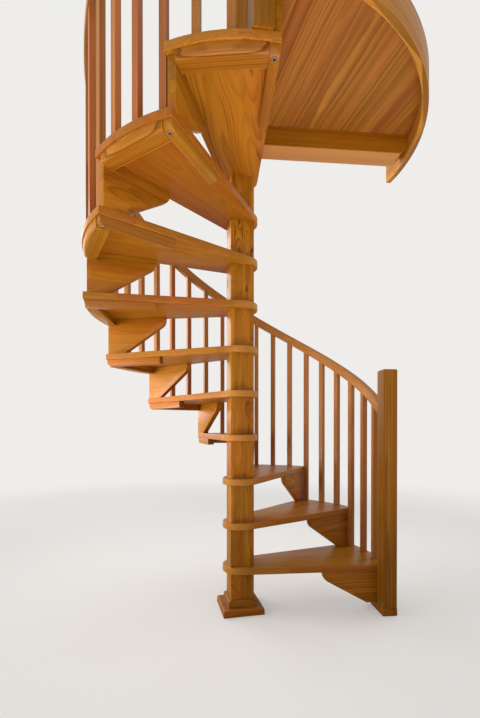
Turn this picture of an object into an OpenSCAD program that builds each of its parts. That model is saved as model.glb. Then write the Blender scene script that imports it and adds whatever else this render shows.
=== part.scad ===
// Timber spiral staircase: square post, round tread hubs, open string, quarter landing.
// Millimetres. The post axis is Z, floor level is Z = 0, X and Y as in the shared frame.

/* [Stair] */
// height from one tread top to the next
rise = 230; // [200:1:250]
// height of the first tread's top over the floor
first_rise = 240; // [200:1:260]
// turn from one tread to the next, degrees
turn = 28; // [24:0.5:32]
// radius of the treads at their outer arc
tread_radius = 787; // [700:1:900]
// thickness of treads, brackets and landing floor
board = 33; // [26:1:38]
// part of a turn that each tread runs under the next one, degrees
lap = 2.3; // [1:0.1:4]

/* [Post] */
// radius of the round hub of each tread
hub_radius = 93; // [90:0.5:110]
// side of the square post blocks
post_side = 123; // [100:1:126]
// side of the lower tier of the plinth
plinth_side = 214; // [190:1:260]
// height of one tier of the plinth
plinth_tier = 35; // [25:1:45]

/* [Railing] */
// height of the rail's top over the line of the nosings
rail_height = 847; // [800:1:950]
// width of the handrail
rail_width = 42; // [36:1:55]
// height of the handrail, measured plumb
rail_depth = 62; // [50:1:70]
// distance from the treads' outer arc in to the middle of the balusters
baluster_inset = 32; // [22:1:90]
// side of a square baluster
baluster = 28; // [22:1:34]
// side of the square newels
newel = 73; // [60:1:85]
// height of a newel over the tread it serves
newel_height = 1026; // [980:1:1150]

/* [Under the treads] */
// inner end of the brackets, from the axis
inner_end = 430; // [380:5:470]
// where the slope of a bracket comes down, from the axis
bracket_toe = 668; // [600:1:700]
// width of the curved apron at its middle
apron_width = 76; // [50:1:110]
// thickness of the aprons and the rear battens
cleat = 38; // [24:1:48]
// width of the rear batten
batten_width = 38; // [30:1:60]
// inner end of the rear battens, from the axis
batten_end = 435; // [380:5:500]

/* [Landing] */
// radius of the landing floor
landing_radius = 884; // [820:1:950]
// thickness of the curved rim of the landing
rim = 28; // [24:1:40]
// width of the beam under the back edge
beam_width = 107; // [90:1:140]
// depth of the beam and the rim below the floor
beam_depth = 100; // [80:1:130]

/* [Hidden] */
treads = 10;
start = -1.7;
post_turn = 12.5;
foot_height = 38;
edge = hub_radius - 0.3;
// radius of the ring of balusters
baluster_radius = tread_radius - baluster_inset;
slant = asin(edge / tread_radius);
top_step = treads + 1;
landing_top = first_rise + rise * treads;
soffit = landing_top - board;
clear = 0.3;
// the landing ends on a line through the axis, parallel to the first nosing
back_turn = start + slant;
// the rim runs on past that line
rim_end = back_turn + 9;
// rail of the landing: height over its floor and depth
guard_height = newel_height - 112;
guard_depth = 50;
// distance from a tread's rear edge in to its batten
setback = 5;
// place of the two stair newels along their nosings
newel_x = sqrt(pow(baluster_radius + 8, 2) - pow(edge, 2));
// length kept free round the axis by the cutting shapes
reach = 1.5 * tread_radius;

function step_angle(n) = start + turn * (n - 1);
function nosing_z(a) = first_rise + rise * (a - start) / turn;
function tread_top(n) = first_rise + rise * (n - 1);

// frame of the nosing line of step n: X runs along it, the line lies at Y = -edge
module at_nosing(n) { rotate(step_angle(n) + slant) children(); }
// frame of the rear edge of tread n: X runs along it, the line lies at Y = +edge
module at_rear(n) { rotate(step_angle(n) + turn + lap - slant) children(); }

// plan of one tread, its nosing corner on the X axis
module tread_plan() {
  far = 1.5 * tread_radius;
  a = slant;
  b = turn + lap - slant;
  mid = (turn + lap) / 2;
  union() {
    circle(r = hub_radius, $fn = 60);
    intersection() {
      circle(r = tread_radius, $fn = 240);
      polygon([[0, 0],
        [edge * sin(a), -edge * cos(a)],
        [edge * sin(a) + far * cos(a), -edge * cos(a) + far * sin(a)],
        [1.6 * far * cos(mid), 1.6 * far * sin(mid)],
        [-edge * sin(b) + far * cos(b), edge * cos(b) + far * sin(b)],
        [-edge * sin(b), edge * cos(b)]]);
    }
  }
}

module tread(n) {
  color("#b9772f") translate([0, 0, tread_top(n) - board]) rotate(step_angle(n))
    linear_extrude(height = board) tread_plan();
}

// bracket outline: length along the nosing, height below the tread
module bracket_plan(drop, out) {
  r = 50;
  corner = 38;
  lean = atan2(drop - corner, bracket_toe - inner_end);
  bend = 90 - lean;
  z0 = corner - r * tan(bend / 2);
  polygon(concat([[out, 0], [inner_end, 0]],
    [for (i = [0 : 6]) [inner_end + r * (1 - cos(i * bend / 6)), -z0 - r * sin(i * bend / 6)]],
    [[bracket_toe, -drop], [out, -drop]]));
}

module bracket(n) {
  drop = n == 1 ? first_rise - board - foot_height : rise - board;
  out = sqrt(pow(tread_radius - 16, 2) - pow(edge, 2));
  translate([0, 0, tread_top(n) - board]) at_nosing(n)
    translate([0, -edge + 6 + board, 0]) rotate([90, 0, 0])
      linear_extrude(height = board) bracket_plan(drop, out);
}

// segment of board under the outer arc, curved outside and straight inside
module apron(n) {
  mid = (turn + lap) / 2;
  chord = tread_radius - 6 - apron_width;
  translate([0, 0, tread_top(n) - board - cleat]) rotate(step_angle(n))
    linear_extrude(height = cleat) difference() {
      intersection() {
        circle(r = tread_radius - 6, $fn = 240);
        rotate(mid) translate([chord, -reach / 2]) square([reach, reach]);
      }
      rotate(slant) translate([0, -edge + 6 + board - reach]) square(reach);
      rotate(turn + lap - slant) translate([0, edge - setback - batten_width]) square(reach);
    }
}

// square bar under the rear edge, the lower corner of its outer end rounded
module batten(n) {
  r = cleat * 0.6;
  out = sqrt(pow(tread_radius - 6, 2) - pow(edge, 2));
  translate([0, 0, tread_top(n) - board]) at_rear(n) translate([0, edge - setback, 0])
    rotate([90, 0, 0]) linear_extrude(height = batten_width)
      polygon(concat([[out, 0], [batten_end, 0], [batten_end, -cleat]],
        [for (i = [0 : 6]) [out - r * (1 - sin(i * 15)), r - cleat - r * cos(i * 15)]]));
}

// square bar from z0 up to the sloping underside of the rail
module rail_post(z0, zmid, slope) {
  s = baluster / 2;
  translate([s, 0, 0]) rotate([90, 0, -90]) linear_extrude(height = baluster)
    polygon([[-s, z0], [s, z0], [s, zmid - slope * s], [-s, zmid + slope * s]]);
}

rail_slope = rise / (turn * PI / 180 * baluster_radius);
function rail_under(a) = nosing_z(a) + rail_height - rail_depth - clear;

module short_baluster(n, k) {
  a = step_angle(n) - 1.2 + k * turn / 3;
  rotate(a) translate([baluster_radius, 0, 0]) rail_post(tread_top(n), rail_under(a), rail_slope);
}

// the bar that stands on the tread below, against the nosing of step n
module long_baluster(n) {
  off = edge + baluster / 2;
  t = sqrt(pow(baluster_radius, 2) - off * off);
  a = step_angle(n) + slant - asin(off / baluster_radius);
  at_nosing(n) translate([t, -off, 0]) rail_post(tread_top(n - 1), rail_under(a), rail_slope);
}

// square bar on its axis, its top edges bevelled by c
module capped_bar(s, h, c) {
  profile = [[-s / 2, 0], [s / 2, 0], [s / 2, h - c], [s / 2 - c, h], [c - s / 2, h], [-s / 2, h - c]];
  intersection() {
    rotate([90, 0, 0]) linear_extrude(height = s, center = true) polygon(profile);
    rotate([90, 0, 90]) linear_extrude(height = s, center = true) polygon(profile);
  }
}

module newel_at(n, z0, z1) {
  translate([0, 0, z0]) at_nosing(n) translate([newel_x, -edge - newel / 2, 0])
    capped_bar(newel, z1 - z0, 5);
}

// handrail: profile in the upright plane through the axis, swept along the helix
function rail_profile() = let(w = rail_width / 2, h = rail_depth) [
  [-w + 5, 0], [w - 5, 0], [w, 6], [w, h * 0.68], [w * 0.82, h * 0.86], [w * 0.45, h * 0.97],
  [0, h], [-w * 0.45, h * 0.97], [-w * 0.82, h * 0.86], [-w, h * 0.68], [-w, 6]];
steps = 68;
function rail_from(r) = step_angle(1) + slant - asin(edge / r);
function rail_to(r) = step_angle(top_step) + slant - asin((edge + newel) / r);
function rail_angle(i, r) = i == 0 ? rail_from(r) : i == steps ? rail_to(r)
  : rail_from(baluster_radius) + (rail_to(baluster_radius) - rail_from(baluster_radius)) * i / steps;

module handrail(i0, i1) {
  p = rail_profile();
  m = len(p);
  k = i1 - i0;
  pts = [for (i = [i0 : i1]) for (q = p)
    let(r = baluster_radius + q[0], a = rail_angle(i, r))
    [r * cos(a), r * sin(a), nosing_z(a) + rail_height - rail_depth + q[1]]];
  sides = [for (i = [0 : k - 1]) for (j = [0 : m - 1])
    let(b = (j + 1) % m) each [[i * m + j, (i + 1) * m + j, (i + 1) * m + b],
      [i * m + j, (i + 1) * m + b, i * m + b]]];
  color("#c08136") polyhedron(points = pts, convexity = 6, faces = concat(sides,
    [[for (j = [0 : m - 1]) j]], [[for (j = [0 : m - 1]) k * m + m - 1 - j]]));
}

module post_square(grow = 0) {
  rotate(post_turn) square(post_side + 2 * grow, center = true);
}

module base_plinth() {
  color("#a8682a") rotate(post_turn) union() {
    capped_bar(plinth_side, plinth_tier, 7);
    translate([0, 0, plinth_tier]) capped_bar(plinth_side * 0.7, plinth_tier, 7);
  }
}

module post_blocks() {
  color("#b3712c") for (n = [1 : top_step]) {
    z0 = n == 1 ? 2 * plinth_tier : tread_top(n - 1);
    translate([0, 0, z0]) linear_extrude(height = tread_top(n) - board - z0) post_square();
  }
}

module tread_01() { tread(1); }
module tread_02() { tread(2); }
module tread_03() { tread(3); }
module tread_04() { tread(4); }
module tread_05() { tread(5); }
module tread_06() { tread(6); }
module tread_07() { tread(7); }
module tread_08() { tread(8); }
module tread_09() { tread(9); }
module tread_10() { tread(10); }

module riser_brackets() { color("#b06d2b") for (n = [1 : top_step]) bracket(n); }
module tread_aprons() { color("#a9672a") for (n = [1 : treads]) apron(n); }
module rear_battens() { color("#a26227") for (n = [1 : treads]) batten(n); }

// floor block that carries the lower newel and the outer end of the first bracket
module newel_foot() {
  color("#a8682a") at_nosing(1) translate([newel_x - newel / 2 - 2, -edge - newel - 3, 0])
    cube([newel + 4, newel + 84, foot_height]);
}

module lower_newel() {
  color("#b3712c") newel_at(1, foot_height, first_rise + newel_height);
}

module upper_newel() {
  color("#b3712c") newel_at(top_step, tread_top(treads), landing_top + newel_height);
}

module short_balusters() {
  color("#bd7d35") for (n = [1 : treads]) for (k = [1, 2]) short_baluster(n, k);
}

module long_balusters() { color("#bd7d35") for (n = [2 : treads]) long_baluster(n); }

module handrail_1() { handrail(0, 17); }
module handrail_2() { handrail(17, 34); }
module handrail_3() { handrail(34, 51); }
module handrail_4() { handrail(51, 68); }

// wedge between the landing's nosing and the line at angle b
module landing_wedge(b) {
  a = step_angle(top_step) + slant;
  far = 2 * landing_radius;
  polygon([[0, 0], [edge * sin(a), -edge * cos(a)],
    [edge * sin(a) + far * cos(a), -edge * cos(a) + far * sin(a)],
    [far, -far], [far * cos(b), far * sin(b)]]);
}

module landing_floor() {
  color("#b9752f") translate([0, 0, soffit]) linear_extrude(height = board) union() {
    circle(r = hub_radius, $fn = 60);
    intersection() {
      circle(r = landing_radius, $fn = 240);
      landing_wedge(back_turn);
    }
  }
}

// beam along the back edge, its lower outer corner cut off towards the rim
module landing_beam() {
  cut = beam_depth * 0.48;
  far = landing_radius + rim;
  near = post_side / 2 + 3;
  color("#b4702b") translate([0, 0, soffit]) difference() {
    intersection() {
      rotate(back_turn) rotate([90, 0, 0]) linear_extrude(height = beam_width)
        polygon([[near, 0], [far, 0], [far, cut - beam_depth],
          [landing_radius - cut, -beam_depth], [near, -beam_depth]]);
      translate([0, 0, -beam_depth]) linear_extrude(height = beam_depth)
        circle(r = landing_radius, $fn = 240);
    }
    translate([0, 0, -beam_depth - 1]) linear_extrude(height = beam_depth + 2) post_square();
  }
}

module landing_rim() {
  color("#aa6829") translate([0, 0, soffit - beam_depth])
    linear_extrude(height = beam_depth + board) intersection() {
      difference() {
        circle(r = landing_radius + rim, $fn = 240);
        circle(r = landing_radius, $fn = 240);
      }
      landing_wedge(rim_end);
    }
}

// railing over the beam, in a frame turned with the back edge
guard_y = -beam_width / 2;
guard_x = landing_radius - 45;
guard_top = landing_top + guard_height;

module upper_post() {
  color("#b3712c") translate([0, 0, landing_top]) rotate(post_turn)
    capped_bar(post_side, newel_height, 8);
}

module landing_newel() {
  color("#b3712c") rotate(back_turn) translate([guard_x, guard_y, landing_top])
    capped_bar(newel, newel_height, 5);
}

module landing_rail() {
  color("#c08136") translate([0, 0, guard_top - guard_depth])
    linear_extrude(height = guard_depth) difference() {
      rotate(back_turn) translate([post_side / 2 - 8, guard_y - rail_width / 2])
        square([guard_x - newel / 2 - post_side / 2 + 8, rail_width]);
      post_square();
    }
}

module landing_balusters() {
  x0 = post_side / 2 + 9;
  x1 = guard_x - newel / 2;
  color("#bd7d35") rotate(back_turn) for (k = [1 : 6])
    translate([x0 + (x1 - x0) * k / 7 - baluster / 2, guard_y - baluster / 2, landing_top])
      cube([baluster, baluster, guard_height - guard_depth]);
}

base_plinth();
post_blocks();
tread_01();
tread_02();
tread_03();
tread_04();
tread_05();
tread_06();
tread_07();
tread_08();
tread_09();
tread_10();
riser_brackets();
tread_aprons();
rear_battens();
newel_foot();
lower_newel();
upper_newel();
short_balusters();
long_balusters();
handrail_1();
handrail_2();
handrail_3();
handrail_4();
landing_floor();
landing_beam();
landing_rim();
upper_post();
landing_newel();
landing_rail();
landing_balusters();
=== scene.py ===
import bmesh
import bpy
import math
from mathutils import Matrix, Vector


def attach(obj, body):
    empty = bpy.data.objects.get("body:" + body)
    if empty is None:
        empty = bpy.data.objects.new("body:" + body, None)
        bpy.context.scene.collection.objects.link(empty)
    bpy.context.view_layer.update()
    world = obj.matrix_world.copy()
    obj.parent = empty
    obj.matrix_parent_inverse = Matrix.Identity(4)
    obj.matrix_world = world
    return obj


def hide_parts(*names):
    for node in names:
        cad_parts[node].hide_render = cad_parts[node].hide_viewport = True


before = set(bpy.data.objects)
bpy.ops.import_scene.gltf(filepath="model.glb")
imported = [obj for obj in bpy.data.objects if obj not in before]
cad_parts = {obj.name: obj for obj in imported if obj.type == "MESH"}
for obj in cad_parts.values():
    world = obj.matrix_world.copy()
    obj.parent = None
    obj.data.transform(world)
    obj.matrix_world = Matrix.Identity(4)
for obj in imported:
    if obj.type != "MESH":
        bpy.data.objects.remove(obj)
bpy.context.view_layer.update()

# Sizes in metres and angles in degrees, the same as in the part's source
RISE = 0.230
FIRST_RISE = 0.240
TURN = 28.0
TREADS = 10
START = -1.7
LAP = 2.3
TREAD_RADIUS = 0.787
BOARD = 0.033
HUB_RADIUS = 0.093
POST_SIDE = 0.123
POST_TURN = 12.5
PLINTH_SIDE = 0.214
PLINTH_TIER = 0.035
RAIL_HEIGHT = 0.847
RAIL_WIDTH = 0.042
RAIL_DEPTH = 0.062
BALUSTER_INSET = 0.032
BALUSTER = 0.028
NEWEL = 0.073
NEWEL_HEIGHT = 1.026
FOOT_HEIGHT = 0.038
INNER_END = 0.430
BRACKET_TOE = 0.668
APRON_WIDTH = 0.076
CLEAT = 0.038
BATTEN_WIDTH = 0.038
BATTEN_END = 0.435
SETBACK = 0.005
LANDING_RADIUS = 0.884
RIM = 0.028
BEAM_WIDTH = 0.107
BEAM_DEPTH = 0.100
GUARD_HEIGHT = 0.914
GUARD_DEPTH = 0.050
CLEAR = 0.0003

# What follows from them
EDGE = HUB_RADIUS - CLEAR
SLANT = math.degrees(math.asin(EDGE / TREAD_RADIUS))
SPAN = TURN + LAP
RING = TREAD_RADIUS - BALUSTER_INSET
SLOPE = RISE / (math.radians(TURN) * RING)
TOP_STEP = TREADS + 1
LANDING_TOP = FIRST_RISE + RISE * TREADS
SOFFIT = LANDING_TOP - BOARD
# The landing ends on a line through the axis, and its rim runs on past that line
BACK = START + SLANT
RIM_END = BACK + 9

# How far the boards under a tread stay in from its edges, and the outer end of a bracket
INSET = 0.006
BRACKET_INSET = 0.016
# Curve and corner at a bracket's inner end
BRACKET_CURVE = 0.050
BRACKET_CORNER = 0.038
# Rounding of an apron's lower outer edge, and of a batten's outer end as a share of its height
APRON_ROUND = 0.013
BATTEN_ROUND = 0.6
# Side of the plinth's upper tier as a share of the lower one
UPPER_TIER = 0.7
# The newels stand this far out from the ring of balusters
NEWEL_OUT = 0.008
# Floor block: its margin beside the newel, in front of it, and its run under the bracket
FOOT_MARGIN = 0.002
FOOT_FRONT = 0.003
FOOT_RUN = 0.084
# The two short balusters of a tread stand this many degrees before the thirds of its turn
BALUSTER_BACK = 1.2
# Guard of the landing: its newel from the rim, its rail's end and first gap at the post
GUARD_INSET = 0.045
GUARD_RAIL_IN = 0.002
GUARD_GAP = 0.009
GUARD_BALUSTERS = 6
# Beam: the height of its cut end as a share of its depth, and its gap beside the post
BEAM_CUT = 0.48
BEAM_GAP = 0.003
# Place of a bolt along its batten
BOLT_OUT = 0.757

# Radius of the eased edges of boards and blocks, and chamfer round the heads of square bars
EASE = {"tread": 0.0035, "block": 0.003, "bracket": 0.0025, "apron": 0.0022, "batten": 0.003,
        "foot": 0.004, "floor": 0.002, "beam": 0.003, "rim": 0.0025, "guard_baluster": 0.002}
CHAMFER = {"plinth": 0.007, "post": 0.008, "newel": 0.005}
# How many straight lines stand for each arc
LINES = {"hub": 44, "tread": 24, "apron": 18, "landing": 40, "rim": 60, "bracket": 9, "batten": 9,
         "floor": 96}
# Edges that turn by more degrees than these are eased, and are shaded as edges
EASED_FROM = 24
SHARP_FROM = 22
# Tolerance in finding edges by their place
SLACK = 0.0005
# First number of each kind of piece: the number picks the timber that a piece is cut from
TIMBER = {"tread": 0, "post": 20, "plinth": 40, "bracket": 50, "batten": 90, "foot": 110,
          "newel": 111, "landing_newel": 114, "short": 120, "long": 150, "rail": 170, "floor": 180,
          "beam": 182, "rim": 183, "guard_rail": 190, "guard_baluster": 191, "bolt": 200,
          "apron": 670}
# Boards run nearly along the middle of a tread, and slantwise across the landing
TREAD_GRAIN = SPAN / 2 - 4
LANDING_GRAIN = -73.5

# Right half of each rail's section, from its top, in shares of half its width and of its depth
RAIL_HALF = ((0.0, 1.0), (0.36, 0.992), (0.62, 0.962), (0.82, 0.90), (0.94, 0.81), (1.0, 0.70),
             (1.0, 0.42), (1.0, 0.12), (0.93, 0.035), (0.78, 0.0))
GUARD_HALF = ((0.36, 1.0), (0.82, 0.9), (1.0, 0.7), (1.0, 0.12), (0.78, 0.0))
# The handrail: its lengths, the flat facets of each in the source, and rows to a facet here
RAIL_LENGTHS = 4
FACETS = 17
ROWS = 4
RAIL_STEPS = RAIL_LENGTHS * FACETS

# Head of a bolt, from the batten down and into its socket: radius, height, whether six-sided
BOLT_HEAD = ((0.0085, 0.0, False), (0.0085, -0.0030, False), (0.0079, -0.0038, False),
             (0.0046, -0.0040, False), (0.0042, -0.0037, True), (0.0041, -0.0006, True))
# Radius of the shade painted dark inside each socket
SOCKET = 0.0043

# Camera: focal length, height of the frame and shift in the photo's pixels, place and tilt
FOCAL_PX = 398.2
FRAME_PX = 718
SHIFT_PX = 71.76
SENSOR = 24.0
CAMERA_AT = (0, -2.1345, 0.9622)
CAMERA_TILT = 89.67

# Floor: its radius, and where it starts and ends to fade into the backdrop
FLOOR_RADIUS = 6.0
FADE_FROM = 1.5
FADE_TO = 5.9
FLOOR_TONE = (0.56, 0.55, 0.54)
FLOOR_BOUNCE = (0.46, 0.40, 0.33)
FLOOR_GLOW = 0.32
BACKDROP = (0.86, 0.85, 0.83)
AMBIENT = (1.0, 0.99, 0.97)
AMBIENT_STRENGTH = 0.55

# Lamps: name, place, size, watts, aim, spread, and whether it shows in the lacquer's sheen
LAMPS = (
    ("window", (-2.6, 3.6, 2.6), 3.0, 38, (0, 0, 1.5), 120, True),
    ("side", (-3.4, 0.5, 2.4), 2.0, 36, (0, 0, 2.0), 90, False),
    ("low_side", (-2.9, -1.3, 0.95), 1.5, 9.5, (-0.3, 0.2, 1.2), 74, False),
    ("left", (-1.65, 0.25, 0.95), 0.9, 3.0, (-0.42, 0.46, 1.32), 52, True),
    ("far", (3.4, 1.6, 2.4), 2.4, 22, (0, 0, 1.9), 100, False),
    ("room", (-1.0, -5.2, 1.5), 2.0, 5, (0.1, 0, 2.6), 46, True),
    ("bounce", (0.3, -1.6, 0.04), 2.2, 34, (0.3, -1.6, 3.0), 130, True),
    ("top", (0.5, 1.0, 6.0), 4.0, 14, (0, 0, 1.0), 180, True),
)


# Places and directions
def rad(a):
    return math.radians(a)


def rot(a):
    return Matrix.Rotation(rad(a), 4, "Z")


def turn_x(a):
    return Matrix.Rotation(rad(a), 4, "X")


def shift(x=0.0, y=0.0, z=0.0):
    return Matrix.Translation((x, y, z))


def step_angle(n):
    return START + TURN * (n - 1)


def tread_top(n):
    return FIRST_RISE + RISE * (n - 1)


def nosing_z(a):
    return FIRST_RISE + RISE * (a - START) / TURN


def rail_bottom(a):
    return nosing_z(a) + RAIL_HEIGHT - RAIL_DEPTH


def on_tread(n):
    """Frame of tread n: its nosing corner on X, its underside at zero."""
    return shift(z=tread_top(n) - BOARD) @ rot(step_angle(n))


def at_nosing(n):
    """Frame whose X runs along the nosing of step n, the nosing at Y = -EDGE."""
    return rot(step_angle(n) + SLANT)


def at_rear(n):
    """Frame whose X runs along the rear edge of tread n, the edge at Y = EDGE."""
    return rot(step_angle(n) + SPAN - SLANT)


def on_guard(x, z):
    """Place on the line of the landing's guard, at a height over the landing."""
    return rot(BACK) @ shift(x, -BEAM_WIDTH / 2, LANDING_TOP + z)


def lean(radius, off=EDGE):
    """Angle between a line that passes the axis at off and where it meets a circle."""
    return math.degrees(math.asin(off / radius))


def reach(radius, off=EDGE):
    """Length along a line that passes the axis at off, out to a circle."""
    return math.sqrt(radius * radius - off * off)


def arc(radius, a0, a1, lines):
    return [(radius * math.cos(rad(a0 + (a1 - a0) * i / lines)),
             radius * math.sin(rad(a0 + (a1 - a0) * i / lines))) for i in range(lines + 1)]


def square(side):
    s = side / 2
    return [(-s, -s), (s, -s), (s, s), (-s, s)]


def link(name, data):
    """New object in the scene that holds the data."""
    ob = bpy.data.objects.new(name, data)
    bpy.context.scene.collection.objects.link(ob)
    return ob


# Materials
def rgba(color, share=1.0):
    return (*[share * c for c in color], 1)


class Nodes:
    """Short forms for building the node tree of a material or world."""

    def __init__(self, owner):
        self.tree = owner.node_tree

    def new(self, kind, **props):
        node = self.tree.nodes.new(kind)
        for key, value in props.items():
            setattr(node, key, value)
        return node

    def put(self, value, socket):
        if isinstance(value, bpy.types.NodeSocket):
            self.tree.links.new(value, socket)
        else:
            socket.default_value = value

    def math(self, op, a, b=None, c=None, clamp=False):
        node = self.new("ShaderNodeMath", operation=op, use_clamp=clamp)
        for i, value in enumerate((a, b, c)):
            if value is not None:
                self.put(value, node.inputs[i])
        return node.outputs[0]

    def add(self, a, b, clamp=False):
        return self.math("ADD", a, b, clamp=clamp)

    def sub(self, a, b):
        return self.math("SUBTRACT", a, b)

    def mul(self, a, b, clamp=False):
        return self.math("MULTIPLY", a, b, clamp=clamp)

    def div(self, a, b, clamp=False):
        return self.math("DIVIDE", a, b, clamp=clamp)

    def mul_add(self, a, b, c):
        return self.math("MULTIPLY_ADD", a, b, c)

    def squares(self, a, b):
        return self.add(self.mul(a, a), self.mul(b, b))

    def vec(self, x, y, z):
        node = self.new("ShaderNodeCombineXYZ")
        for i, value in enumerate((x, y, z)):
            self.put(value, node.inputs[i])
        return node.outputs[0]

    def attribute(self, name, output):
        return self.new("ShaderNodeAttribute", attribute_name=name).outputs[output]

    def grain(self):
        """The mesh's own grain: metres along, across and through the timber."""
        split = self.new("ShaderNodeSeparateXYZ")
        self.put(self.attribute("grain", "Vector"), split.inputs[0])
        return tuple(split.outputs)

    def noise(self, place, scale, detail=2.0, rough=0.5):
        """Noise from about -0.5 to 0.5, its scale in waves to the metre along each axis."""
        node = self.new("ShaderNodeTexNoise")
        self.put(self.vec(*[self.mul(p, s) for p, s in zip(place, scale)]), node.inputs["Vector"])
        node.inputs["Scale"].default_value = 1.0
        node.inputs["Detail"].default_value = detail
        node.inputs["Roughness"].default_value = rough
        return self.sub(node.outputs[0], 0.5)

    def white(self, a, b):
        """Three even random values that belong to a pair of numbers."""
        node = self.new("ShaderNodeTexWhiteNoise", noise_dimensions="2D")
        self.put(self.vec(a, b, 0.0), node.inputs["Vector"])
        split = self.new("ShaderNodeSeparateColor")
        self.put(node.outputs["Color"], split.inputs[0])
        return tuple(split.outputs)

    def mix(self, share, a, b):
        node = self.new("ShaderNodeMix", data_type="RGBA")
        self.put(share, node.inputs[0])
        self.put(a, node.inputs[6])
        self.put(b, node.inputs[7])
        return node.outputs[2]

    def ramp(self, value, stops):
        node = self.new("ShaderNodeValToRGB")
        elements = node.color_ramp.elements
        while len(elements) < len(stops):
            elements.new(0.5)
        for element, (place, level) in zip(elements, stops):
            element.position = place
            element.color = (level, level, level, 1)
        self.put(value, node.inputs[0])
        return node.outputs[0]


# Figure of the timber: waves to the metre along, across and through it
WOBBLE = (3.5, 24.0, 24.0)
STREAK = (1.8, 38.0, 38.0)
FIBRE = (12.0, 520.0, 520.0)
DRIFT_ACROSS = 1.5
# Waves of dark and light years, to the year
YEAR_GROUPS = 0.42
# A knot is this much longer than wide, and pushes the rings out by this many of them
KNOT_LENGTH = 3.2
KNOT_SWELL = 1.8
# How much the quieter timber loses of its figure
QUIET = 0.6
# How far boards may lie from each other in the log, along, across and through it
APART = (9.0, 5.0, 5.0)
# Strength of the rings' wobble in shares of a ring, of the fibres, and of the least dark tone
WOBBLE_RINGS = 0.9
FIBRE_DARK = 0.35
BASE_DARK = 0.12
# How dark a knot's core is and how strongly it shows; how dark a glue line is
CORE_TONE = 0.35
CORE_SHARE = 0.85
GLUE_TONE = 0.4
# Range of hue from board to board
HUE_RANGE = 0.018
# Lacquer: its roughness and what the streaks add to it, a thin coat, and the relief of the grain
ROUGHNESS = 0.36
STREAK_ROUGH = 0.14
COAT = 0.06
COAT_ROUGHNESS = 0.18
LATE_SUNK = 0.6
FIBRE_RAISED = 0.8
BUMP_STRENGTH = 0.25
BUMP_DISTANCE = 0.0006
# Half the width of a glue line
GLUE_LINE = 0.0007


def knot_figure(n, rho, x, y, pid, ring, knots):
    """Rings pushed out round the knots, and the dark cores of the knots."""
    core = None
    for number, along, across, radius in knots:
        dx = n.div(n.sub(x, along), KNOT_LENGTH * radius)
        dy = n.div(n.sub(y, across), radius)
        d2 = n.squares(dx, dy)
        here = n.math("COMPARE", pid, number, 0.4)
        swell = n.mul(n.math("POWER", math.e, n.mul(d2, -0.35)), here)
        rho = n.mul_add(swell, KNOT_SWELL * ring, rho)
        spot = n.mul(n.math("SMOOTH_MIN", n.sub(1.1, d2), 1.0, 0.2), here)
        spot = n.math("MAXIMUM", spot, 0.0)
        core = spot if core is None else n.math("MAXIMUM", core, spot)
    return rho, core


def late_wood(n, phase, own, early):
    """The dark late part of each annual ring, stronger in some years than in others."""
    strength = n.mul_add(n.white(n.math("FLOOR", phase), own)[0], 0.7, 0.3)
    stops = [(0.0, 0.0), (early, 0.12), (0.43 + early, 0.85), (0.88, 1.0), (1.0, 0.0)]
    return n.mul(n.ramp(n.math("FRACT", phase), stops), strength)


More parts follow.
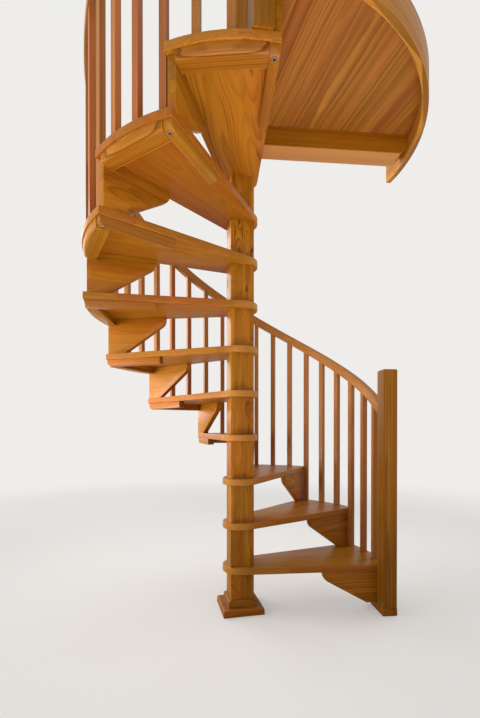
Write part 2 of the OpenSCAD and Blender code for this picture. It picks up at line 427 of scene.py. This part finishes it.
def wood(name, light, dark, boards, ring, pith, contrast=0.8, tone=0.16, streaks=0.7,
         groups=0.6, sway=(1.6, 0.9), off=1.5, early=0.35, joint=0.35, gloss=0.2,
         knots=(), plain_to=None, pale=None):
    """Sawn, glued and lacquered timber, in colours of its early and late wood.

    boards is the width of the glued boards, or None; ring is the width of an annual ring, and
    pith how far their centre lies from the board, with off as the most it lies to the side, in
    shares of pith. sway says how often to the metre it drifts along the board, and how far.
    contrast, streaks, groups and joint are the strengths of the late wood, the streaks, the
    groups of dark years and the glue lines; tone is the difference between boards, and early
    the share of a ring that stays light. knots holds piece, along, across and radius of each.
    Pieces numbered up to plain_to are of quieter timber. pale is an axis of the grain, a place
    on it below which the timber turns paler or darker, how softly, how much, and its colour: it
    paints light on the treads' hubs and a sheen on the beam's underside, and darkens end grain.
    """
    mat = bpy.data.materials.new(name)
    mat.use_nodes = True
    n = Nodes(mat)
    x, y, z = n.grain()
    pid = n.attribute("pid", "Fac")

    # each board has its own figure
    board, yb = 0.0, y
    if boards:
        board = n.math("FLOOR", n.div(y, boards))
        yb = n.sub(y, n.mul(n.add(board, 0.5), boards))
    r1, r2, r3 = n.white(board, pid)
    own = [n.add(p, n.mul(r, far)) for p, r, far in zip((x, yb, z), (r1, r2, r3), APART)]

    # annual rings round a pith that lies off the board and drifts along it
    drift = n.noise(own, (sway[0], DRIFT_ACROSS, DRIFT_ACROSS), 1.0)
    ry = n.add(yb, n.mul(n.sub(r2, 0.5), off * pith))
    rz = n.add(z, n.mul(n.add(r3, 0.25), pith))
    rz = n.add(rz, n.mul(drift, sway[1] * pith))
    rho = n.math("SQRT", n.squares(ry, rz))
    rho = n.add(rho, n.mul(n.noise(own, WOBBLE, 2.0), WOBBLE_RINGS * ring))
    rho, core = knot_figure(n, rho, x, y, pid, ring, knots)
    phase = n.div(rho, ring)
    late = late_wood(n, phase, r1, early)

    # from light to dark: rings, groups of years, streaks and fibres
    years = n.noise((phase, n.mul(r1, 50.0), n.mul(x, 0.6)), (YEAR_GROUPS, 1.0, 1.0), 1.5)
    streak = n.noise(own, STREAK, 3.0, 0.6)
    fibre = n.noise(own, FIBRE, 2.0)
    depth = n.mul_add(years, 2.0 * groups, n.mul(late, contrast))
    if plain_to:
        quiet = n.mul(n.math("LESS_THAN", pid, plain_to), QUIET)
        depth = n.add(n.mul(depth, n.sub(1.0, quiet)), n.mul(quiet, 0.5))
    depth = n.mul_add(streak, streaks, depth)
    depth = n.mul_add(fibre, FIBRE_DARK, depth)
    col = n.mix(n.add(depth, BASE_DARK, clamp=True), rgba(light), rgba(dark))
    if core is not None:
        col = n.mix(n.mul(core, CORE_SHARE, clamp=True), col, rgba(dark, CORE_TONE))

    # each board is a little lighter or darker, redder or yellower
    hsv = n.new("ShaderNodeHueSaturation")
    n.put(n.mul_add(n.sub(r3, 0.5), HUE_RANGE, 0.5), hsv.inputs["Hue"])
    n.put(n.mul_add(n.sub(r1, 0.5), 2 * tone, 1.0), hsv.inputs["Value"])
    n.put(col, hsv.inputs["Color"])
    col = hsv.outputs[0]
    # a band of the grain turned paler or darker: painted light on the treads' hubs, a painted sheen
    # on the beam's underside, dark end grain on the battens
    if pale:
        axis, place, soft, share, tint = pale
        end = n.div(n.sub(place, (x, y, z)[axis]), soft, clamp=True)
        col = n.mix(n.mul(end, share), col, rgba(tint))

    height = n.add(n.mul(late, -LATE_SUNK), n.mul(fibre, FIBRE_RAISED))
    if boards:
        side = n.math("FRACT", n.div(y, boards))
        near = n.mul(n.math("MINIMUM", side, n.sub(1.0, side)), boards)
        line = n.math("LESS_THAN", near, GLUE_LINE)
        col = n.mix(n.mul(line, joint), col, rgba(dark, GLUE_TONE))
        height = n.sub(height, line)

    # lacquer that lets the grain be felt
    bsdf = n.tree.nodes["Principled BSDF"]
    n.put(col, bsdf.inputs["Base Color"])
    n.put(n.mul_add(streak, STREAK_ROUGH, ROUGHNESS), bsdf.inputs["Roughness"])
    bsdf.inputs["Specular IOR Level"].default_value = gloss
    bsdf.inputs["Coat Weight"].default_value = COAT
    bsdf.inputs["Coat Roughness"].default_value = COAT_ROUGHNESS
    bump = n.new("ShaderNodeBump")
    bump.inputs["Strength"].default_value = BUMP_STRENGTH
    bump.inputs["Distance"].default_value = BUMP_DISTANCE
    n.put(height, bump.inputs["Height"])
    n.put(bump.outputs[0], bsdf.inputs["Normal"])
    return mat


def metal(name, color, rough, socket):
    """Bare steel, with shade painted near black inside the socket of each bolt, whose axis is the
    grain's Z.
    """
    mat = bpy.data.materials.new(name)
    mat.use_nodes = True
    n = Nodes(mat)
    x, y, z = n.grain()
    noise = n.noise((x, y, z), (900, 900, 900))
    inside = n.math("LESS_THAN", n.math("SQRT", n.squares(x, y)), socket)
    col = n.mix(n.add(noise, 0.5), rgba(color), rgba(color, 0.75))
    bsdf = n.tree.nodes["Principled BSDF"]
    # the inside of the socket painted near black as shade
    n.put(n.mix(n.mul(inside, 0.9), col, (0.02, 0.015, 0.01, 1)), bsdf.inputs["Base Color"])
    n.put(n.mul_add(noise, 0.2, rough), bsdf.inputs["Roughness"])
    bsdf.inputs["Metallic"].default_value = 1.0
    return mat


# Treads, with light painted on at their hubs as a paler tint; the top one shows more figure than
# the others
M_TREAD = wood("tread_wood", (0.51, 0.185, 0.014), (0.20, 0.052, 0.001), 0.112, 0.0062, 0.15,
               contrast=0.74, tone=0.03, groups=0.27, sway=(2.0, 0.28), off=0.6, joint=0.0,
               gloss=0.25, plain_to=TREADS - 0.5, pale=(0, 0.05, 0.08, 0.3, (0.56, 0.28, 0.055)))
# Battens, their inner ends dark end grain
M_BATTEN = wood("batten_wood", (0.41, 0.147, 0.012), (0.17, 0.045, 0.001), None, 0.006, 0.07,
                contrast=0.7, gloss=0.25,
                pale=(0, BATTEN_END + 0.0015, 0.001, 0.7, (0.15, 0.045, 0.003)))
# Post: blocks eight and nine have a knot each; those above the eighth show more figure
M_POST = wood("post_wood", (0.56, 0.212, 0.012), (0.15, 0.036, 0.001), 0.041, 0.009, 0.05,
              contrast=0.95, tone=0.12, groups=0.9, sway=(4.5, 1.6), gloss=0.15,
              plain_to=TIMBER["post"] + 8.5,
              knots=((TIMBER["post"] + 8, 0.07, 0.022, 0.0075),
                     (TIMBER["post"] + 9, 0.183, -0.016, 0.006)))
M_FOOT = wood("foot_wood", (0.33, 0.118, 0.009), (0.13, 0.036, 0.001), None, 0.007, 0.09,
              gloss=0.12)
M_NEWEL = wood("newel_wood", (0.33, 0.126, 0.010), (0.12, 0.034, 0.002), 0.0163, 0.005, 0.06,
               tone=0.13, sway=(1.0, 0.4), joint=0.7, gloss=0.12)
M_BRACKET = wood("bracket_wood", (0.45, 0.158, 0.008), (0.155, 0.040, 0.001), 0.0455, 0.0065,
                 0.09, contrast=0.66, tone=0.10, sway=(1.8, 0.7))
M_APRON = wood("apron_wood", (0.45, 0.170, 0.012), (0.16, 0.041, 0.001), None, 0.011, 0.06,
               contrast=0.95, tone=0.14, groups=0.5, sway=(3.5, 1.2), off=0.8)
M_RAIL = wood("rail_wood", (0.46, 0.176, 0.046), (0.21, 0.062, 0.011), None, 0.006, 0.09,
              contrast=0.6, tone=0.12, groups=0.5, sway=(0.8, 0.4))
M_LANDING = wood("landing_boards", (0.49, 0.185, 0.032), (0.17, 0.045, 0.004), 0.058, 0.0092,
                 0.20, contrast=0.70, tone=0.08, streaks=0.40, groups=0.10, sway=(0.6, 0.14),
                 off=1.2, early=0.10, joint=0.5, gloss=0.25)
# Beam, with a pale sheen painted on its underside
M_BEAM = wood("beam_wood", (0.57, 0.195, 0.010), (0.22, 0.055, 0.001), 0.0535, 0.006, 0.12,
              contrast=0.6, tone=0.08, sway=(0.8, 0.4), gloss=0.12,
              pale=(2, 0.006 - BEAM_DEPTH, 0.004, 0.6, (0.68, 0.32, 0.13)))
M_PLIES = wood("rim_plies", (0.60, 0.25, 0.038), (0.21, 0.06, 0.004), 0.007, 0.004, 0.08,
               contrast=0.75, tone=0.22, joint=0.5, sway=(0.8, 0.4))
M_STEEL = metal("bolt_steel", (0.66, 0.62, 0.56), 0.34, SOCKET)


# Meshes
class Part:
    """Collects solids into one mesh, which may stand for a node of the frame."""

    def __init__(self, name, mat, slot, node=None):
        self.name, self.mat, self.slot, self.node = name, mat, slot, node
        self.points, self.faces, self.grain, self.pids = [], [], [], []

    def add(self, bm, place, grain, pid):
        """Adds one solid; grain gives the timber's own coordinates of a point of it."""
        base = len(self.points)
        bm.verts.index_update()
        for v in bm.verts:
            self.points.append(place @ v.co)
            self.grain.extend(grain(v.co))
            self.pids.append(pid)
        for f in bm.faces:
            self.faces.append([base + v.index for v in f.verts])
        bm.free()

    def build(self):
        mesh = bpy.data.meshes.new(self.name)
        mesh.from_pydata(self.points, [], self.faces)
        mesh.validate()
        mesh.attributes.new("grain", "FLOAT_VECTOR", "POINT").data.foreach_set("vector", self.grain)
        mesh.attributes.new("pid", "FLOAT", "POINT").data.foreach_set("value", self.pids)
        mesh.materials.append(self.mat)
        mesh.shade_smooth()
        mesh.set_sharp_from_angle(angle=rad(SHARP_FROM))
        ob = link(self.name, mesh)
        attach(ob, "root")
        if self.node:
            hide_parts(self.node)


def eased(bm, radius, segments=2):
    """Rounds the solid's edges."""
    if radius:
        sharp = [e for e in bm.edges if e.calc_face_angle(0) > rad(EASED_FROM)]
        bmesh.ops.bevel(bm, geom=sharp, offset=radius, offset_type="OFFSET", segments=segments,
                        profile=0.6, affect="EDGES", clamp_overlap=True)
    return bm


def prism(outline, height, ease=0.0, segments=2):
    """Closed prism over an outline, its edges eased."""
    bm = bmesh.new()
    face = bm.faces.new([bm.verts.new((x, y, 0)) for x, y in outline])
    out = bmesh.ops.extrude_face_region(bm, geom=[face])
    upper = [g for g in out["geom"] if isinstance(g, bmesh.types.BMVert)]
    bmesh.ops.translate(bm, vec=(0, 0, height), verts=upper)
    bmesh.ops.recalc_face_normals(bm, faces=bm.faces)
    return eased(bm, ease, segments)


def loft(rings):
    """Closed solid through rings of points, its two ends flat."""
    bm = bmesh.new()
    rows = [[bm.verts.new(p) for p in ring] for ring in rings]
    bm.faces.new(rows[0][::-1])
    bm.faces.new(rows[-1])
    for lo, hi in zip(rows, rows[1:]):
        for i in range(len(lo)):
            j = (i + 1) % len(lo)
            bm.faces.new((lo[i], lo[j], hi[j], hi[i]))
    bmesh.ops.recalc_face_normals(bm, faces=bm.faces)
    return bm


def bar(side, height, chamfer):
    """Square bar on its axis, chamfered round its head."""
    rings = ((side, 0), (side, height - chamfer), (side - 2 * chamfer, height))
    return loft([[(x, y, z) for x, y in square(s)] for s, z in rings])


def section(half, width, depth):
    """Closed outline of a rail from the right half of its section."""
    right = [(x * width / 2, z * depth) for x, z in half]
    return right + [(-x, z) for x, z in right[::-1] if x > 0]


# Grain of a solid from its own coordinates: along, across and through the timber
def upright(co):
    return co.z, co.x, co.y


def level(co):
    return co.x, co.y, co.z


def turned(angle):
    c, s = math.cos(rad(angle)), math.sin(rad(angle))
    return lambda co: (co.x * c + co.y * s, -co.x * s + co.y * c, co.z)


# Treads: the hub circle joined to the outer arc by its tangents
def build_treads():
    plan = arc(TREAD_RADIUS, 0, SPAN, LINES["tread"])
    plan += arc(HUB_RADIUS, SPAN - SLANT + 90, SLANT + 270, LINES["hub"])
    for n in range(1, TREADS + 1):
        part = Part("tread_%02d_boards" % n, M_TREAD, "tread_wood", "tread_%02d" % n)
        bm = prism(plan, BOARD, EASE["tread"], 3)
        part.add(bm, on_tread(n), turned(TREAD_GRAIN), TIMBER["tread"] + n)
        part.build()


# Post: a block between each two hubs, the plinth under it, and a bar over the landing
def build_post():
    part = Part("post_block_stack", M_POST, "post_wood", "post_blocks")
    for n in range(1, TOP_STEP + 1):
        z0 = 2 * PLINTH_TIER if n == 1 else tread_top(n - 1)
        bm = prism(square(POST_SIDE), tread_top(n) - BOARD - z0, EASE["block"])
        part.add(bm, shift(z=z0) @ rot(POST_TURN), upright, TIMBER["post"] + n)
    part.build()

    part = Part("plinth_tiers", M_FOOT, "post_wood", "base_plinth")
    for k, side in enumerate((PLINTH_SIDE, PLINTH_SIDE * UPPER_TIER)):
        bm = bar(side, PLINTH_TIER, CHAMFER["plinth"])
        part.add(bm, shift(z=k * PLINTH_TIER) @ rot(POST_TURN), level, TIMBER["plinth"] + k)
    part.build()

    part = Part("upper_post_bar", M_POST, "post_wood", "upper_post")
    bm = bar(POST_SIDE, NEWEL_HEIGHT, CHAMFER["post"])
    part.add(bm, shift(z=LANDING_TOP) @ rot(POST_TURN), upright, TIMBER["post"])
    part.build()


# Brackets under the nosings, cut on a slope towards the post
def bracket_plan(drop):
    r, corner = BRACKET_CURVE, BRACKET_CORNER
    out = reach(TREAD_RADIUS - BRACKET_INSET)
    bend = 90 - math.degrees(math.atan2(drop - corner, BRACKET_TOE - INNER_END))
    z0 = corner - r * math.tan(rad(bend / 2))
    turns = [rad(i * bend / LINES["bracket"]) for i in range(LINES["bracket"] + 1)]
    curve = [(INNER_END + r * (1 - math.cos(t)), -z0 - r * math.sin(t)) for t in turns]
    return [(out, 0), (INNER_END, 0)] + curve + [(BRACKET_TOE, -drop), (out, -drop)]


def build_brackets():
    part = Part("bracket_boards", M_BRACKET, "bracket_wood", "riser_brackets")
    for n in range(1, TOP_STEP + 1):
        drop = FIRST_RISE - BOARD - FOOT_HEIGHT if n == 1 else RISE - BOARD
        place = shift(z=tread_top(n) - BOARD) @ at_nosing(n) @ shift(y=-EDGE + INSET + BOARD)
        part.add(prism(bracket_plan(drop), BOARD, EASE["bracket"]), place @ turn_x(90), level,
                 TIMBER["bracket"] + n)
    part.build()


# Aprons under the outer arcs: curved outside, straight inside, cut along bracket and batten
def chord_point(off, angle):
    """Where the line beside a radius, at a distance off, meets the apron's inner chord."""
    along = Vector((math.cos(rad(angle)), math.sin(rad(angle))))
    start = Vector((-along.y, along.x)) * off
    middle = Vector((math.cos(rad(SPAN / 2)), math.sin(rad(SPAN / 2))))
    t = (TREAD_RADIUS - INSET - APRON_WIDTH - start.dot(middle)) / along.dot(middle)
    return tuple(start + along * t)


def build_aprons():
    radius = TREAD_RADIUS - INSET
    front, back = -EDGE + INSET + BOARD, EDGE - SETBACK - BATTEN_WIDTH
    nosing, rear = SLANT, SPAN - SLANT
    plan = arc(radius, nosing + lean(radius, front), rear + lean(radius, back), LINES["apron"])
    plan += [chord_point(back, rear), chord_point(front, nosing)]
    part = Part("apron_boards", M_APRON, "bracket_wood", "tread_aprons")
    for n in range(1, TREADS + 1):
        bm = prism(plan, CLEAT)
        lower = [e for e in bm.edges
                 if all(v.co.z < SLACK and v.co.xy.length > radius - SLACK for v in e.verts)]
        bmesh.ops.bevel(bm, geom=lower, offset=APRON_ROUND, offset_type="OFFSET", segments=6,
                        profile=0.5, affect="EDGES", clamp_overlap=True)
        part.add(eased(bm, EASE["apron"]), shift(z=-CLEAT) @ on_tread(n), turned(SPAN / 2 + 90),
                 TIMBER["apron"] + n)
    part.build()


# Battens under the rear edges, the lower corner of the outer end round
def build_battens():
    out = reach(TREAD_RADIUS - INSET)
    r = CLEAT * BATTEN_ROUND
    turns = [rad(90 * i / LINES["batten"]) for i in range(LINES["batten"] + 1)]
    plan = [(out, 0), (BATTEN_END, 0), (BATTEN_END, -CLEAT)]
    plan += [(out - r * (1 - math.sin(t)), r - CLEAT - r * math.cos(t)) for t in turns]
    part = Part("batten_bars", M_BATTEN, "bracket_wood", "rear_battens")
    for n in range(1, TREADS + 1):
        place = shift(z=tread_top(n) - BOARD) @ at_rear(n) @ shift(y=EDGE - SETBACK)
        part.add(prism(plan, BATTEN_WIDTH, EASE["batten"]), place @ turn_x(90), level,
                 TIMBER["batten"] + n)
    part.build()


# Newels and the floor block under the lower one
def build_newels():
    out = reach(RING + NEWEL_OUT)
    part = Part("newel_foot_block", M_FOOT, "post_wood", "newel_foot")
    w, l = NEWEL + 2 * FOOT_MARGIN, NEWEL + FOOT_RUN
    bm = prism([(0, 0), (w, 0), (w, l), (0, l)], FOOT_HEIGHT, EASE["foot"])
    corner = shift(out - NEWEL / 2 - FOOT_MARGIN, -EDGE - NEWEL - FOOT_FRONT)
    part.add(bm, at_nosing(1) @ corner, turned(90), TIMBER["foot"])
    part.build()

    ends = (("lower_newel", 1, FOOT_HEIGHT), ("upper_newel", TOP_STEP, tread_top(TREADS)))
    for k, (node, n, z0) in enumerate(ends):
        part = Part(node + "_bar", M_NEWEL, "post_wood", node)
        bm = bar(NEWEL, tread_top(n) + NEWEL_HEIGHT - z0, CHAMFER["newel"])
        part.add(bm, shift(z=z0) @ at_nosing(n) @ shift(out, -EDGE - NEWEL / 2), upright,
                 TIMBER["newel"] + k)
        part.build()

    part = Part("landing_newel_bar", M_NEWEL, "post_wood", "landing_newel")
    bm = bar(NEWEL, NEWEL_HEIGHT, CHAMFER["newel"])
    part.add(bm, on_guard(LANDING_RADIUS - GUARD_INSET, 0), upright, TIMBER["landing_newel"])
    part.build()


# Balusters, their heads cut to the slope of the rail
def baluster(z0, a):
    """Baluster that stands at z0, under the rail at an angle."""
    head = rail_bottom(a) - CLEAR
    return loft([[(x, y, z0) for x, y in square(BALUSTER)],
                 [(x, y, head + SLOPE * y) for x, y in square(BALUSTER)]])


def build_balusters():
    part = Part("short_baluster_bars", M_RAIL, "rail_wood", "short_balusters")
    for n in range(1, TREADS + 1):
        for k in (1, 2):
            a = step_angle(n) - BALUSTER_BACK + k * TURN / 3
            part.add(baluster(tread_top(n), a), rot(a) @ shift(RING), upright,
                     TIMBER["short"] + 2 * n + k)
    part.build()

    part = Part("long_baluster_bars", M_RAIL, "rail_wood", "long_balusters")
    off = EDGE + BALUSTER / 2
    for n in range(2, TREADS + 1):
        a = step_angle(n) + SLANT - lean(RING, off)
        part.add(baluster(tread_top(n - 1), a), at_nosing(n) @ shift(reach(RING, off), -off),
                 upright, TIMBER["long"] + n)
    part.build()


# Handrail: one smooth helix in four lengths, its ends cut along the two newels
def rail_angle(i, q):
    """Angle of row i at the radius q."""
    first, last = step_angle(1) + SLANT, step_angle(TOP_STEP) + SLANT
    if i <= 0:
        return first - lean(q, EDGE)
    if i >= RAIL_STEPS:
        return last - lean(q, EDGE + NEWEL)
    a0, a1 = first - lean(RING, EDGE), last - lean(RING, EDGE + NEWEL)
    return a0 + (a1 - a0) * i / RAIL_STEPS


def rail_grain(co):
    """Grain of a point of the handrail, from its angle round the axis."""
    before = START - TURN
    a = (math.degrees(math.atan2(co.y, co.x)) - before) % 360 + before
    return rad(a) * RING * math.hypot(1.0, SLOPE), co.xy.length - RING, co.z - rail_bottom(a)


def build_handrail():
    outline = section(RAIL_HALF, RAIL_WIDTH, RAIL_DEPTH)
    for k in range(RAIL_LENGTHS):
        rings = []
        for row in range(FACETS * ROWS + 1):
            i = FACETS * k + row / ROWS
            rings.append([])
            for x, z in outline:
                q = RING + x
                a = rail_angle(i, q)
                rings[-1].append((q * math.cos(rad(a)), q * math.sin(rad(a)), rail_bottom(a) + z))
        part = Part("handrail_length_%d" % (k + 1), M_RAIL, "rail_wood", "handrail_%d" % (k + 1))
        part.add(loft(rings), Matrix(), rail_grain, TIMBER["rail"] + k // 2)
        part.build()


# Landing: floor boards round the hub, beam along the back edge, curved rim
def build_landing():
    nosing = step_angle(TOP_STEP) + SLANT
    plan = arc(LANDING_RADIUS, nosing - lean(LANDING_RADIUS), 360 + BACK, LINES["landing"])
    plan += arc(HUB_RADIUS, BACK, nosing - 90, LINES["hub"])
    part = Part("landing_floor_boards", M_LANDING, "landing_wood", "landing_floor")
    part.add(prism(plan, BOARD, EASE["floor"]), shift(z=SOFFIT), turned(LANDING_GRAIN),
             TIMBER["floor"])
    part.build()

    cut, near = BEAM_DEPTH * BEAM_CUT, POST_SIDE / 2 + BEAM_GAP
    end = reach(LANDING_RADIUS, BEAM_WIDTH / 2)
    plan = [(near, 0), (end, 0), (end, cut - BEAM_DEPTH), (LANDING_RADIUS - cut, -BEAM_DEPTH),
            (near, -BEAM_DEPTH)]
    part = Part("landing_beam_bar", M_BEAM, "landing_wood", "landing_beam")
    part.add(prism(plan, BEAM_WIDTH, EASE["beam"]), shift(z=SOFFIT) @ rot(BACK) @ turn_x(90),
             lambda co: (co.x, co.z, co.y), TIMBER["beam"])
    part.build()

    outside = LANDING_RADIUS + RIM
    outer = arc(outside, nosing - lean(outside), 360 + RIM_END, LINES["rim"])
    inner = arc(LANDING_RADIUS, nosing - lean(LANDING_RADIUS), 360 + RIM_END, LINES["rim"])
    part = Part("landing_rim_plies", M_PLIES, "landing_wood", "landing_rim")
    part.add(prism(outer + inner[::-1], BEAM_DEPTH + BOARD, EASE["rim"]),
             shift(z=SOFFIT - BEAM_DEPTH),
             lambda co: (math.atan2(co.y, co.x) * LANDING_RADIUS, co.xy.length, co.z),
             TIMBER["rim"])
    part.build()


# Guard of the landing: rail and balusters over the beam
def build_guard():
    newel_side = LANDING_RADIUS - GUARD_INSET - NEWEL / 2
    start = POST_SIDE / 2 - GUARD_RAIL_IN
    lying = Matrix(((0, 0, 1, 0), (1, 0, 0, 0), (0, 1, 0, 0), (0, 0, 0, 1)))
    part = Part("landing_rail_bar", M_RAIL, "rail_wood", "landing_rail")
    bm = prism(section(GUARD_HALF, RAIL_WIDTH, GUARD_DEPTH), newel_side - start)
    part.add(bm, on_guard(start, GUARD_HEIGHT - GUARD_DEPTH) @ lying, upright,
             TIMBER["guard_rail"])
    part.build()

    first = POST_SIDE / 2 + GUARD_GAP
    part = Part("landing_baluster_bars", M_RAIL, "rail_wood", "landing_balusters")
    for k in range(1, GUARD_BALUSTERS + 1):
        bm = prism(square(BALUSTER), GUARD_HEIGHT - GUARD_DEPTH, EASE["guard_baluster"])
        x = first + (newel_side - first) * k / (GUARD_BALUSTERS + 1)
        part.add(bm, on_guard(x, 0), upright, TIMBER["guard_baluster"] + k)
    part.build()


# Flat bolt heads with a six-sided socket, under the outer ends of the battens
def bolt_ring(radius, z, six_sided):
    ring = []
    for a in range(0, 360, 10):
        q = radius * (math.cos(rad(30)) / math.cos(rad(a % 60 - 30)) if six_sided else 1)
        ring.append((q * math.cos(rad(a)), q * math.sin(rad(a)), z))
    return ring


def build_bolts():
    part = Part("batten_bolts", M_STEEL, "bracket_wood")
    for n in range(1, TREADS + 1):
        place = at_rear(n) @ shift(BOLT_OUT, EDGE - SETBACK - BATTEN_WIDTH / 2)
        part.add(loft([bolt_ring(*row) for row in BOLT_HEAD]),
                 shift(z=tread_top(n) - BOARD - CLEAT) @ place, level, TIMBER["bolt"] + n)
    part.build()


# Camera, floor, lamps and backdrop
def build_camera():
    cam = bpy.data.cameras.new("camera")
    cam.sensor_fit = "VERTICAL"
    cam.sensor_height = SENSOR
    cam.lens = SENSOR * FOCAL_PX / FRAME_PX
    cam.shift_y = SHIFT_PX / FRAME_PX
    ob = link("camera", cam)
    ob.location = CAMERA_AT
    ob.rotation_euler = (rad(CAMERA_TILT), 0, 0)
    bpy.context.scene.camera = ob


def floor_material():
    """Pale matt floor that fades into the backdrop with the distance from the stair."""
    mat = bpy.data.materials.new("floor")
    mat.use_nodes = True
    n = Nodes(mat)
    direct = n.new("ShaderNodeLightPath").outputs["Is Camera Ray"]
    distance = n.new("ShaderNodeVectorMath", operation="LENGTH")
    n.put(n.new("ShaderNodeTexCoord").outputs["Object"], distance.inputs[0])
    fading = n.new("ShaderNodeMapRange", interpolation_type="SMOOTHSTEP")
    n.put(distance.outputs["Value"], fading.inputs["Value"])
    fading.inputs["From Min"].default_value = FADE_FROM
    fading.inputs["From Max"].default_value = FADE_TO
    fade = fading.outputs[0]
    bsdf = n.tree.nodes["Principled BSDF"]
    seen = n.mix(fade, rgba(FLOOR_TONE), (0, 0, 0, 1))
    n.put(n.mix(direct, rgba(FLOOR_BOUNCE), seen), bsdf.inputs["Base Color"])
    bsdf.inputs["Roughness"].default_value = 0.7
    bsdf.inputs["Specular IOR Level"].default_value = 0.0
    bsdf.inputs["Emission Color"].default_value = rgba(BACKDROP)
    glow = n.mul_add(fade, 1 - FLOOR_GLOW, FLOOR_GLOW)
    n.put(n.mul(direct, glow), bsdf.inputs["Emission Strength"])
    return mat


def build_floor():
    rim = arc(FLOOR_RADIUS, 0, 360, LINES["floor"])[:-1]
    mesh = bpy.data.meshes.new("floor")
    mesh.from_pydata([(x, y, 0) for x, y in rim], [], [range(len(rim))])
    mesh.materials.append(floor_material())
    link("floor", mesh)


def build_lamps():
    for name, place, size, watts, aim, spread, sheen in LAMPS:
        lamp = bpy.data.lights.new(name, "AREA")
        lamp.size = size
        lamp.energy = watts
        lamp.spread = rad(spread)
        ob = link(name, lamp)
        ob.location = place
        ob.rotation_euler = (Vector(aim) - Vector(place)).to_track_quat("-Z", "Y").to_euler()
        ob.visible_camera = False
        ob.visible_glossy = sheen


def build_world():
    """Soft light from all round, and a plain pale backdrop where the camera sees past all."""
    world = bpy.data.worlds.new("world")
    bpy.context.scene.world = world
    world.use_nodes = True
    n = Nodes(world)
    ambient = n.tree.nodes["Background"]
    ambient.inputs["Color"].default_value = rgba(AMBIENT)
    ambient.inputs["Strength"].default_value = AMBIENT_STRENGTH
    backdrop = n.new("ShaderNodeBackground")
    backdrop.inputs["Color"].default_value = rgba(BACKDROP)
    mixer = n.new("ShaderNodeMixShader")
    n.put(n.new("ShaderNodeLightPath").outputs["Is Camera Ray"], mixer.inputs[0])
    n.put(ambient.outputs[0], mixer.inputs[1])
    n.put(backdrop.outputs[0], mixer.inputs[2])
    n.put(mixer.outputs[0], n.tree.nodes["World Output"].inputs[0])


build_treads()
build_post()
build_brackets()
build_aprons()
build_battens()
build_newels()
build_balusters()
build_handrail()
build_landing()
build_guard()
build_bolts()
build_camera()
build_floor()
build_lamps()
build_world()
bpy.context.scene.view_settings.view_transform = "Standard"
